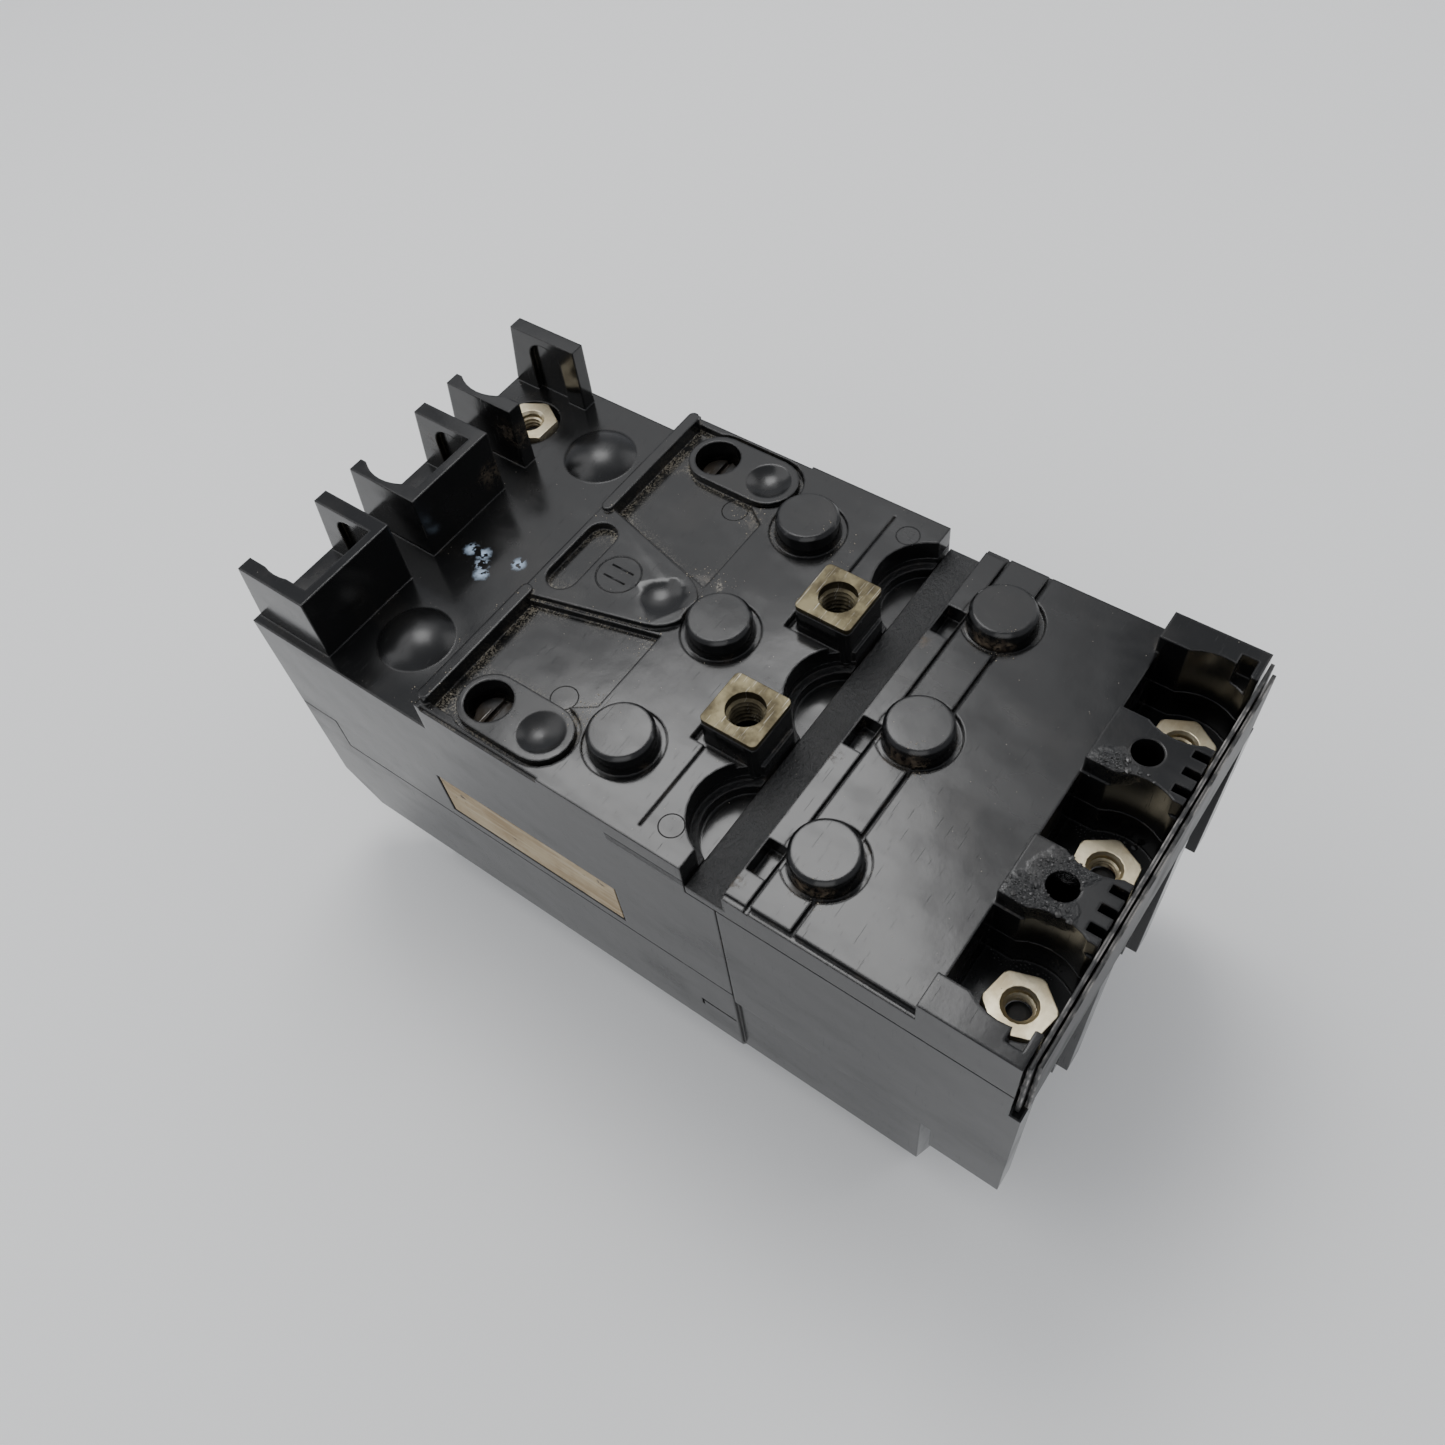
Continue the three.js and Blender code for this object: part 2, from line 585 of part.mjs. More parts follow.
// ---------- front cover ----------
function buildCover() {
  const t = WALL;
  const top = Z_PART - GAP;
  const topTrip = Z_TRIP - GAP;
  const side = HALF_W;
  const toe = COVER_FLANK.in;
  const rise = COVER_FLANK.rise;
  const profile = [
    [Y_COVER_END, 0], [Y_LINE - 18, 0], [Y_LINE, 20], [Y_LINE, Z_STEP - GAP], [Y_STEP + GAP, Z_STEP - GAP],
    [Y_STEP + GAP, top], [Y_SPLIT, top], [Y_SPLIT, topTrip], [Y_COVER_END, topTrip],
  ];
  const section = [
    [-side + toe, -CUT / 10], [side - toe, -CUT / 10], [side, rise],
    [side, Z_FIN], [-side, Z_FIN], [-side, rise],
  ];
  const xIn = side - t;
  const inner = [
    [-xIn + toe - 1, t], [xIn - toe + 1, t], [xIn, rise + 0.8],
    [xIn, Z_FIN], [-xIn, Z_FIN], [-xIn, rise + 0.8],
  ];
  const y0 = Y_COVER_END + t;
  const cavity = join(
    box(-side, side, y0, 52, WELL.depth + t, top + CUT),
    box(WELL.half + t, side, y0, 52, t, top + CUT),
    box(-side, -WELL.half - t, y0, 52, t, top + CUT),
    box(-WELL.half - t - CUT, WELL.half + t + CUT, y0, WELL.y0 - t, t, top + CUT),
    box(-WELL.half - t - CUT, WELL.half + t + CUT, WELL.y1 + t, 52, t, top + CUT),
  ).intersect(prismY(inner, y0, 52));
  let body = prismX(profile, -side, side).intersect(prismY(section, Y_COVER_END - CUT, Y_LINE + CUT));
  body = cut(
    body,
    sideBox(1, side - 0.8, side + CUT, Y_COVER_END - CUT, Y_SPLIT, -CUT, top + CUT),
    sideBox(-1, side - 0.8, side + CUT, Y_COVER_END - CUT, Y_SPLIT, -CUT, top + CUT),
    cavity,
  );
  const slotHalf = 13.6;
  const yThroat = HANDLE_AXIS.y;
  body = cut(
    body,
    box(-WELL.half, WELL.half, WELL.y0, WELL.y1, -CUT, WELL.depth),
    box(-5.6, 5.6, yThroat - slotHalf, yThroat + slotHalf, WELL.depth - CUT, WELL.depth + t + CUT),
  );
  const yPocket = Y_POCKET_LINE + 1.5;
  for (const x of POLES) {
    body = cut(body, box(x - POCKET_HALF, x + POCKET_HALF, yPocket, Y_LINE + CUT, -CUT, Z_STEP + CUT));
  }
  for (const [x, y] of SCREWS) {
    const pillar = rodZ(x, y, 4.6, t - 1, top, 16);
    body = join(body, pillar.intersect(box(-side, side, Y_COVER_END, Y_POCKET_LINE + 1, 0, top)));
  }
  for (const [x, y] of SCREWS) {
    body = cut(
      body,
      rodZ(x, y, 3.5, -CUT, 3.2, 24),
      rodZ(x, y, 1.9, 0, top + CUT, 16),
    );
  }
  // thin bracket-shaped groove on the near side, next to the trip unit
  body = cut(
    body,
    sideBox(-1, side - 0.5, side + CUT, Y_SPLIT + 0.4, Y_SPLIT + 8, 23, 23.6),
    sideBox(-1, side - 0.5, side + CUT, Y_SPLIT + 7.5, Y_SPLIT + 8, 21.2, 23.6),
    sideBox(1, side - 0.5, side + CUT, Y_SPLIT + 0.4, Y_SPLIT + 8, 23, 23.6),
  );
  body = join(body, rodZ(BUTTON.x, BUTTON.y, BUTTON.r + 2.2, t - 1, 14, 24));
  return cut(body, rodZ(BUTTON.x, BUTTON.y, BUTTON.r + GAP, -CUT, 15, 24));
}

place('base_housing', buildBase(), PHENOLIC);
place('rear_plate', buildRearPlate(), PHENOLIC);
place('trip_housing', buildTripHousing(), PHENOLIC);
place('front_cover', buildCover(), PHENOLIC);

// ---------- barrier sheets at the load end ----------
for (let i = 0; i < 2; i += 1) {
  const y1 = Y_BODY_END - GAP - i * (SHEET_T + GAP);
  const half = HALF_W - 1 - 1.2 * i;
  const sheet = box(-half, half, y1 - SHEET_T, y1, Z_SEAM - 7.8 + GAP, Z_POST - 0.8 - i * 0.7);
  place(`barrier_sheet_${i + 1}`, sheet, FIBRE);
}

// ---------- side label ----------
place('side_label', box(-HALF_W + 0.1, -HALF_W + 0.3, LABEL.y0, LABEL.y1, LABEL.z0, LABEL.z1), PAPER);

// ---------- terminal nuts, inserts, rear screws ----------
POLES.forEach((x, i) => {
  place(`line_nut_${i + 1}`, hexNut(x, Y_NUT_LINE, Z_NUT_LINE + GAP), ZINC);
  place(`load_nut_${i + 1}`, hexNut(x, Y_NUT_LOAD, Z_NUT_LOAD + GAP, NUT_TURN[i]), ZINC);
});
MIDS.forEach((x, i) => {
  const h = INSERT_SIDE / 2;
  const top = Z_POST + INSERT_RISE;
  const insert = join(
    prismZ(roundedSquare(x, Y_INSERT, h, INSERT_CORNER), top - INSERT_T, top),
    rodZ(x, Y_INSERT, SLEEVE_R, top - INSERT_T - SLEEVE_L, top - INSERT_T + 0.5),
  );
  const bore = rodZ(x, Y_INSERT, INSERT_BORE_R, top - 12, top + CUT);
  place(`mounting_insert_${i + 1}`, cut(insert, bore), BRONZE);
  const sx = (i === 0 ? -1 : 1) * (HALF_W - TRACK_INSET);
  const headZ = Z_MAIN - 5.5 + GAP;
  const screw = join(
    rodZ(sx, Y_TRACK_HOLE, 3.2, headZ, headZ + 1.8, 24),
    rodZ(sx, Y_TRACK_HOLE, 1.6, Z_MAIN - 9, headZ + 0.5, 16),
  );
  const slot = box(sx - 4, sx + 4, Y_TRACK_HOLE - 0.5, Y_TRACK_HOLE + 0.5, headZ + 1, headZ + 3);
  place(`rear_screw_${i + 1}`, cut(screw, slot), STEEL);
});

// ---------- cover screws, heads sunk in the front ----------
SCREWS.forEach(([x, y], i) => {
  const screw = join(rodZ(x, y, 3.1, 0.8, 2.9, 24), rodZ(x, y, 1.4, 2.4, 50, 16));
  place(`cover_screw_${i + 1}`, cut(screw, box(x - 4, x + 4, y - 0.5, y + 0.5, 0, 1.8)), STEEL);
});

// ---------- current path of each pole ----------
POLES.forEach((x, i) => {
  const n = i + 1;
  const zLine = Z_STRAP_LINE;
  const zLoad = Z_STRAP_LOAD;
  const line = cut(
    box(x - STRAP_HALF, x + STRAP_HALF, 31, Y_LINE - 1, zLine, zLine + STRAP_T),
    rodZ(x, Y_NUT_LINE, 3, zLine - CUT, zLine + STRAP_T + CUT, 16),
  );
  const load = cut(
    box(x - STRAP_HALF, x + STRAP_HALF, Y_BODY_END + 1, -48, zLoad, zLoad + STRAP_T),
    rodZ(x, Y_NUT_LOAD, 3, zLoad - CUT, zLoad + STRAP_T + CUT, 16),
  );
  place(`line_strap_${n}`, line, COPPER);
  place(`load_strap_${n}`, load, COPPER);
  place(`fixed_contact_${n}`, box(x - 3, x + 3, 31.5, 37.5, zLine - GAP - 2, zLine - GAP), SILVER);
  place(`link_bar_${n}`, box(x - 4, x + 4, -38, -13.5, LINK_Z, LINK_Z + LINK_T), COPPER);
  place(`bimetal_${n}`, box(x - 3.5, x + 3.5, -50.2, -49, Z_TRIP + 1.5, zLoad - GAP), BIMETAL);
});

// ---------- arc chutes: a stack of slotted plates between two side walls ----------
function arcChute(x) {
  const half = CHAMBER_HALF - 1.6;
  const y0 = 34;
  const y1 = 47.4;
  const top = Z_STRAP_LINE - 3;
  let stack = join(
    box(x - half - 1, x - half + 0.2, y0, y1, top - 19.6, top),
    box(x + half - 0.2, x + half + 1, y0, y1, top - 19.6, top),
  );
  for (let i = 0; i < 6; i += 1) {
    const z = top - 17.6 + 3.2 * i;
    stack = join(stack, box(x - half, x + half, y0 + 0.4, y1 - 0.4, z, z + 1.2));
  }
  return cut(stack, box(x - 4.4, x + 4.4, y0 - CUT, 42.5, top - 21, top + CUT));
}
POLES.forEach((x, i) => place(`arc_chute_${i + 1}`, arcChute(x), STEEL));

// ---------- magnet yokes of the trip unit ----------
POLES.forEach((x, i) => {
  const z0 = Z_TRIP + 2.7;
  const z1 = z0 + (Z_STRAP_LOAD - Z_TRIP - 5.7) / 2;
  const bent = box(x - 6, x + 6, -53.4, -47.4, z0, z1);
  const yoke = cut(bent, box(x - 4.3, x + 4.3, -51.4, -46, z0 - CUT, z1 + CUT));
  place(`magnet_yoke_${i + 1}`, yoke, STEEL);
});

// ---------- contact arms on their crossbar ----------
const ARM = { z0: ARM_TOP - 4, z1: ARM_TOP, half: 3, y0: -8, y1: 38 };
const barHalf = POLES[2] + CHAMBER_HALF - 0.4;
let bar = rodX(ARM_AXIS.y, ARM_AXIS.z, 5.4, -barHalf, barHalf, 20);
for (const x of POLES) {
  bar = cut(bar, box(x - ARM.half - GAP, x + ARM.half + GAP, ARM.y0 - GAP, 6, ARM.z0 - GAP, ARM.z1 + GAP));
}
place('crossbar', bar, FIBRE, ARM_AXIS, ARM_REST);
POLES.forEach((x, i) => {
  const arm = prismX(
    [[ARM.y0, ARM.z0], [ARM.y1, ARM.z0 + 1], [ARM.y1, ARM.z1], [ARM.y0, ARM.z1]],
    x - ARM.half,
    x + ARM.half,
  );
  place(`contact_arm_${i + 1}`, arm, COPPER, ARM_AXIS, ARM_REST);
  const padZ = Z_STRAP_LINE - 2 * GAP - 2;
  const pad = box(x - 2.8, x + 2.8, 31.5, 37.5, ARM.z1 + GAP, padZ);
  place(`moving_contact_${i + 1}`, pad, SILVER, ARM_AXIS, ARM_REST);
});

// ---------- operating mechanism in the middle pole ----------
const FRAME_OUT = CHAMBER_HALF - 1.3;
for (const [i, side] of [[1, -1], [2, 1]]) {
  const x0 = Math.min(side * (FRAME_OUT - 1.2), side * FRAME_OUT);
  const plate = prismX([[-10, 25], [28, 25], [28, 36], [16, 46.6], [2.2, 46.6], [-10, 37]], x0, x0 + 1.2);
  place(`mechanism_frame_${i}`, cut(plate, rodX(HANDLE_AXIS.y, HANDLE_AXIS.z, 1.8, -12, 12, 16)), STEEL);
}
place('pivot_pin', rodX(HANDLE_AXIS.y, HANDLE_AXIS.z, 1.5, -FRAME_OUT - 0.7, FRAME_OUT + 0.7, 16), STEEL);
const cradle = prismX([[-7, 36], [13, 33], [14, 37.5], [-6, 40.5]], -2, 2);
place('cradle_latch', cradle, STEEL);

// ---------- handle and its yoke ----------
function arcBand(rIn, rOut, halfAngle, x0, x1, steps = 14) {
  const points = [];
  for (let i = 0; i <= steps; i += 1) {
    const t = THREE.MathUtils.degToRad(-halfAngle + (2 * halfAngle * i) / steps);
    points.push([HANDLE_AXIS.y + rOut * Math.sin(t), HANDLE_AXIS.z - rOut * Math.cos(t)]);
  }
  for (let i = steps; i >= 0; i -= 1) {
    const t = THREE.MathUtils.degToRad(-halfAngle + (2 * halfAngle * i) / steps);
    points.push([HANDLE_AXIS.y + rIn * Math.sin(t), HANDLE_AXIS.z - rIn * Math.cos(t)]);
  }
  return prismX(points, x0, x1);
}
const hy = HANDLE_AXIS.y;
const hz = HANDLE_AXIS.z;
const leg = [[hy - 4, hz - 22], [hy + 4, hz - 22], [hy + 3, hz + 2.8], [hy - 3, hz + 2.8]];
const yokeOut = FRAME_OUT - 2;
let yoke = join(
  prismX(leg, -yokeOut, -yokeOut + 1.5),
  prismX(leg, yokeOut - 1.5, yokeOut),
  box(-yokeOut, yokeOut, hy - 4, hy + 4, hz - 22.6, hz - 20.6),
);
yoke = cut(yoke, rodX(hy, hz, 1.8, -12, 12, 16));
place('handle_yoke', yoke, STEEL, HANDLE_AXIS, HANDLE_REST);
const gripOutline = [
  [hy - 3, hz - 40], [hy - 1.6, hz - HANDLE_TIP_R], [hy + 1.6, hz - HANDLE_TIP_R],
  [hy + 3, hz - 40], [hy + 4, hz - 24.5], [hy - 4, hz - 24.5],
];
const bandHalf = FRAME_OUT - 1.7;
const grip = join(arcBand(23.6, 25, 36, -bandHalf, bandHalf), prismX(gripOutline, -5, 5));
place('handle', grip, HANDLE_PLASTIC, HANDLE_AXIS, HANDLE_REST);

// ---------- trip bar and push-to-trip button ----------
const PADDLE_T = 2;
let tripBar = rodX(TRIP_AXIS.y, TRIP_AXIS.z, 2.4, -HALF_W + 1.2, HALF_W - 1.2, 20);
for (const x of POLES) {
  tripBar = join(tripBar, box(x - 1.5, x + 1.5, TRIP_AXIS.y - 1, TRIP_AXIS.y + 1, Z_TRIP + 1.2, TRIP_AXIS.z));
}
const paddleZ = TRIP_AXIS.z - PADDLE_T / 2;
const paddle = box(BUTTON.x - 1.8, BUTTON.x + 1.8, TRIP_AXIS.y, BUTTON.y + 1.5, paddleZ, paddleZ + PADDLE_T);
place('trip_bar', join(tripBar, paddle), FIBRE);
place('trip_button', rodZ(BUTTON.x, BUTTON.y, BUTTON.r, 0.8, paddleZ - 1, 24), RED);

export default group;
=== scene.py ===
"""Looks of a three-pole molded case breaker that lies on its front, back face up."""

import json
import math
import random

import bmesh
import bpy
from mathutils import Matrix, Vector
from mathutils.bvhtree import BVHTree

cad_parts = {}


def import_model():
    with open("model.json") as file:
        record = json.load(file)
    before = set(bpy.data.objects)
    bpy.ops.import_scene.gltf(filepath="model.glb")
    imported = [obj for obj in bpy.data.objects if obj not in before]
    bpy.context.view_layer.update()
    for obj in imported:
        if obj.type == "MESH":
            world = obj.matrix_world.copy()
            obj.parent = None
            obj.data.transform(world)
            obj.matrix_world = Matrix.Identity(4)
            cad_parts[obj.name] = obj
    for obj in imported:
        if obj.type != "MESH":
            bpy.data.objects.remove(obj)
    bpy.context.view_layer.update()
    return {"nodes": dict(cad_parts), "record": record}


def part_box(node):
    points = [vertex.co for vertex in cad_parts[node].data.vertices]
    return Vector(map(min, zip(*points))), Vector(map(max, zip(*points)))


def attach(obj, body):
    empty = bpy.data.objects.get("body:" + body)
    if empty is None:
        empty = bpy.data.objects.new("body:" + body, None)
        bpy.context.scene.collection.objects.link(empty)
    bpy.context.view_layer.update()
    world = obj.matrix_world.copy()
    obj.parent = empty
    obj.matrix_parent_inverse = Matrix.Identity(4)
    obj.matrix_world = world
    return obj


MM = 0.001
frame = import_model()
nodes = frame["nodes"]


# ---------- places of the CAD model, in mm ----------
def bore(name):
    """Centre x and y of a CAD node, and its bottom and top."""
    lowest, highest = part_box(name)
    x, y = ((low / MM + high / MM) / 2 for low, high in zip(lowest[:2], highest[:2]))
    return x, y, lowest[2] / MM, highest[2] / MM


def axis_of(name):
    """The x and y that a node is centred on, free of rounding noise."""
    return tuple(round(value, 3) for value in bore(name)[:2])


TERMINAL_NUTS = [f"{end}_nut_{n}" for end in ("line", "load") for n in (1, 2, 3)]
INSERTS = [f"mounting_insert_{n}" for n in (1, 2)]
POLES = [axis_of(f"line_nut_{n}")[0] for n in (1, 2, 3)]
X_BOSSES = [axis_of(name)[0] for name in INSERTS]
X_TRACK, Y_TRACK_HOLE = axis_of("rear_screw_2")
Z_MAIN = 76.3
Z_PLATE = 77.3
Y_POST_A = 0.6
Y_POST_B = -36.4
Y_STRIP = -28.5
Y_DISH = 12.6
Y_DOME = 47.8
Y_BOSS = -68.5
Y_MARK = 21.6
Y_SCORE = -10.3
NUT_BORE_R = 2.35
INSERT_BORE_R = 3.2
BOTH_SIDES = (-1, 1)

# Where dirt, wear and paint lie.
POST_GRIME = [(x - 4.6, Y_POST_B - 2.2, Z_PLATE - 0.5) for x in POLES]
POST_GRIME += [(x - 5.2, Y_POST_B + 0.8, Z_PLATE - 0.5) for x in POLES]
WINDOW_GRIME = [(x - 9.5, Y_STRIP + 1.0, Z_MAIN) for x in POLES]
FIELD_CORNERS = [(-22.5, 39.5, 75), (-33.0, 38.5, 75), (-12.0, 38.0, 75), (23.0, 10.0, 75), (8.0, 10.0, 75)]
FIELD_EDGES = [(-10.5, 34.0, 75), (-8.0, 12.0, 75), (-22.3, 9.4, 75), (11.0, 33.0, 75), (25.0, 13.0, 75)]
TRACK_GRIME = [(side * X_TRACK, Y_TRACK_HOLE, 75) for side in BOTH_SIDES]
LINE_WELL_GRIME = [(8.0, 60.5, 75), (18.0, 60.5, 77), (30.0, 60.0, 76), (21.5, 72.0, 78), (4.0, 72.0, 77)]
WELL_WALLS = [(x, -66.5, 70) for x in POLES] + [(x, 67.0, 73) for x in POLES]
BROKEN_SPOTS = [(-16.5, -63.0, 80), (-17.5, -67.0, 80), (-12.0, -64.5, 80)]
BROKEN_SPOTS += [(-9.0, -66.0, 80), (8.0, -63.5, 80)]
DOMES = [(x, Y_DOME, 70) for x in (POLES[0], POLES[2])]
DISHES = [(x, Y_DISH, Z_MAIN) for x in (-X_TRACK, 0.0, X_TRACK)]
FIELDS = [(side * 21.0, 26.0, 75) for side in BOTH_SIDES]
POWDER_SPOTS = [(-22.5, 9.5, 75), (-8.0, 10.0, 76), (24.0, 11.0, 76), (7.5, 6.5, 76), (26.0, -5.5, 76)]
POWDER_SPOTS += [(-33.0, 31.0, 75)] + [(side * X_TRACK, Y_TRACK_HOLE, 73) for side in BOTH_SIDES]
POWDER_SPOTS += [(20.5, -9.5, 76), (-26.0, 9.0, 76)]
PAINT_SPOTS = [(-6.6, 49.3, 69.5), (-4.6, 50.6, 69.5), (-4.9, 53.4, 69.5)]
PAINT_SPOTS += [(-3.1, 43.6, 69.5), (-8.4, 47.9, 69.5)]
STAINS = [  # places, radius in mm, strength
    (POST_GRIME, 2.6, 0.85),
    (WINDOW_GRIME, 2.0, 0.8),
    (FIELD_CORNERS, 2.6, 0.30),
    (TRACK_GRIME, 2.2, 0.45),
    (LINE_WELL_GRIME, 5.0, 0.6),
]
TROUGH_Z = (70.8, 72.2)
TROUGH_Y = (-26.9, -5.0)

DUST = (0.40, 0.33, 0.25, 1.0)
SPECK = (0.42, 0.38, 0.31, 1.0)
GRIME = (0.060, 0.040, 0.024, 1.0)
DRY_GRIME = (0.17, 0.132, 0.088, 1.0)
POWDER = (0.50, 0.44, 0.33, 1.0)
PAINT = (0.46, 0.60, 0.78, 1.0)


def grey(value, warmth=0.0):
    return (value * (1 + warmth), value, value * (1 - warmth), 1.0)


# ---------- node tree builder ----------
class Look:
    """One material's node tree. Texture places are the part's own coordinates, in metres."""

    def __init__(self, name):
        self.material = bpy.data.materials.new(name)
        self.material.use_nodes = True
        self.tree = self.material.node_tree
        self.tree.nodes.clear()
        output = self.tree.nodes.new("ShaderNodeOutputMaterial")
        self.shader = self.tree.nodes.new("ShaderNodeBsdfPrincipled")
        self.tree.links.new(self.shader.outputs["BSDF"], output.inputs["Surface"])
        self.place = self.tree.nodes.new("ShaderNodeTexCoord").outputs["Object"]
        self.facing = self.tree.nodes.new("ShaderNodeNewGeometry").outputs["Normal"]

    def add(self, kind, inputs, **settings):
        """A new node, its inputs given as sockets to link or as plain values."""
        node = self.tree.nodes.new(kind)
        for key, value in settings.items():
            setattr(node, key, value)
        for key, value in inputs.items():
            self.feed(node.inputs[key], value)
        return node

    def feed(self, socket, value):
        if isinstance(value, bpy.types.NodeSocket):
            self.tree.links.new(value, socket)
        else:
            socket.default_value = value

    def set(self, **values):
        """Feeds the shader's own inputs."""
        for key, value in values.items():
            self.feed(self.shader.inputs[key.replace("_", " ")], value)

    def calc(self, operation, a, b, clamp=False):
        return self.add("ShaderNodeMath", {0: a, 1: b}, operation=operation, use_clamp=clamp).outputs[0]

    def times(self, a, b):
        return self.calc("MULTIPLY", a, b)

    def plus(self, a, b):
        return self.calc("ADD", a, b)

    def most(self, a, b):
        return self.calc("MAXIMUM", a, b)

    def step(self, value, low, high, bottom=0.0, top=1.0):
        """A smooth ramp from bottom at low to top at high."""
        inputs = {"Value": value, "From Min": low, "From Max": high, "To Min": bottom, "To Max": top}
        return self.add("ShaderNodeMapRange", inputs, interpolation_type="SMOOTHSTEP").outputs["Result"]

    def mix(self, share, a, b):
        """Colour a where share is 0 and b where it is 1."""
        return self.add("ShaderNodeMix", {0: share, 6: a, 7: b}, data_type="RGBA").outputs[2]

    def stretched(self, scale, turn=(0, 0, 0)):
        """Texture places turned by angles in radians and scaled along each axis."""
        inputs = {"Vector": self.place, "Scale": scale, "Rotation": turn}
        return self.add("ShaderNodeMapping", inputs).outputs["Vector"]

    def noise(self, size, detail=3.0, rough=0.5, place=None):
        """Cloudy noise whose blobs are about size metres across."""
        inputs = {"Vector": place or self.place, "Scale": 1.0 / size, "Detail": detail, "Roughness": rough}
        return self.add("ShaderNodeTexNoise", inputs).outputs["Fac"]

    def specks(self, cell, radius, keep):
        """Round specks, one at most in each cell, keep being the share of cells that has one."""
        inputs = {"Vector": self.place, "Scale": 1.0 / cell}
        cells = self.add("ShaderNodeTexVoronoi", inputs, feature="F1")
        spot = self.step(cells.outputs["Distance"], radius / cell, 0.5 * radius / cell)
        part = self.add("ShaderNodeSeparateColor", {"Color": cells.outputs["Color"]})
        return self.times(spot, self.calc("LESS_THAN", part.outputs[0], keep))

    def scratches(self, length, width, turn, rarity):
        """Fine straight lines of about that length and width, in metres."""
        place = self.stretched((1.0 / length, 1.0 / width, 1.0 / length), turn)
        return self.step(self.noise(1.0, 2.0, 0.5, place), rarity, rarity + 0.04)

    def rounded(self, radius):
        """The surface's normal, with edges rounded at a radius in metres."""
        return self.add("ShaderNodeBevel", {"Radius": radius}, samples=6).outputs["Normal"]

    def edges(self, normal):
        """1 along the edges that a rounded normal turns over, 0 on flat faces."""
        inputs = {0: normal, 1: self.facing}
        dot = self.add("ShaderNodeVectorMath", inputs, operation="DOT_PRODUCT").outputs["Value"]
        return self.step(dot, 0.995, 0.9)

    def hollows(self, reach):
        """1 deep in corners and pockets, 0 in the open."""
        light = self.add("ShaderNodeAmbientOcclusion", {"Distance": reach}, samples=6).outputs["AO"]
        return self.step(light, 0.85, 0.25)

    def upward(self):
        """1 on faces that look up, 0 on walls."""
        part = self.add("ShaderNodeSeparateXYZ", {"Vector": self.facing})
        return self.step(part.outputs["Z"], 0.5, 0.95)

    def around(self, points, radius, ragged=0.35):
        """1 near any of the points, in mm, fading out raggedly at radius."""
        nearest = None
        for point in points:
            inputs = {0: self.place, 1: Vector(point) * MM}
            away = self.add("ShaderNodeVectorMath", inputs, operation="DISTANCE").outputs["Value"]
            nearest = away if nearest is None else self.calc("MINIMUM", nearest, away)
        wobble = self.times(self.noise(radius * MM * 0.5, 5.0, 0.65), ragged * radius * MM * 3)
        return self.step(self.plus(nearest, wobble), radius * MM * 1.5, radius * MM * 0.6)

    def slab(self, axis, low, high, soft=0.4):
        """1 between two heights along an axis, in mm, with soft ends."""
        along = self.add("ShaderNodeSeparateXYZ", {"Vector": self.place}).outputs[axis]
        rise = self.step(along, (low - soft) * MM, low * MM)
        fall = self.step(along, (high + soft) * MM, high * MM)
        return self.times(rise, fall)

    def bump(self, height, depth, normal=None):
        inputs = {"Height": height, "Distance": depth, "Strength": 1.0}
        if normal is not None:
            inputs["Normal"] = normal
        return self.add("ShaderNodeBump", inputs).outputs["Normal"]


# ---------- materials ----------
def crossed_scratches(look):
    """Two families of fine scratches."""
    one_way = look.scratches(0.007, 0.00010, (0, 0, 0.5), 0.72)
    other_way = look.scratches(0.005, 0.00009, (0.3, 0.2, -0.9), 0.73)
    return look.most(one_way, other_way)


def stained(look, grime, wells):
    """Grime, with the stains at their places and faint runs down the walls of the nut wells."""
    ragged = look.step(look.noise(0.0011, 5.0, 0.7), 0.40, 0.60)
    for points, radius, strength in STAINS:
        spot = look.times(look.around(points, radius), ragged)
        grime = look.most(grime, look.times(spot, strength))
    runs = look.step(look.noise(0.0016, 4.0, 0.6, look.stretched((1, 1, 0.12))), 0.40, 0.66)
    return look.most(grime, look.times(look.times(wells, runs), 0.09))


def less_glossy(look, dull, wells, trough):
    """Added roughness, with more of it in the wells, the trough, the domes and the dishes."""
    domes = look.around(DOMES, 7.5, 0.02)
    dishes = look.around(DISHES, 3.6, 0.02)
    for area, strength in ((wells, 0.20), (trough, 0.16), (domes, 0.15), (dishes, 0.12)):
        dull = look.plus(dull, look.times(area, strength))
    return dull


def powder_cover(look, top):
    """Pale powder in the corners of the two fields and at a few spots."""
    grain = look.step(look.noise(0.00032, 3.0, 0.7), 0.47, 0.56)
    drifts = look.step(look.noise(0.0035, 5.0, 0.65), 0.36, 0.56)
    reach = look.times(look.hollows(0.0045), look.around(FIELDS, 19.0, 0.1))
    reach = look.most(reach, look.around(POWDER_SPOTS, 2.4, 0.6))
    return look.times(look.times(reach, drifts), look.times(grain, top))


def paint_cover(look, top):
    """Shapeless smudges of paint on the lower band."""
    spots = look.times(look.around(PAINT_SPOTS, 1.7, 0.3), top)
    return look.times(spots, look.step(look.noise(0.0016, 4.0, 0.6), 0.44, 0.48))


def broken_relief(look, trough):
    """Rubble on the broken corners of the bosses and grit on the trough's floor."""
    rubble = look.times(look.around(BROKEN_SPOTS, 3.6, 0.25), look.noise(0.0011, 3.0, 0.6))
    grit = look.times(trough, look.noise(0.0007, 4.0, 0.7))
    return look.plus(rubble, look.times(grit, 0.35))


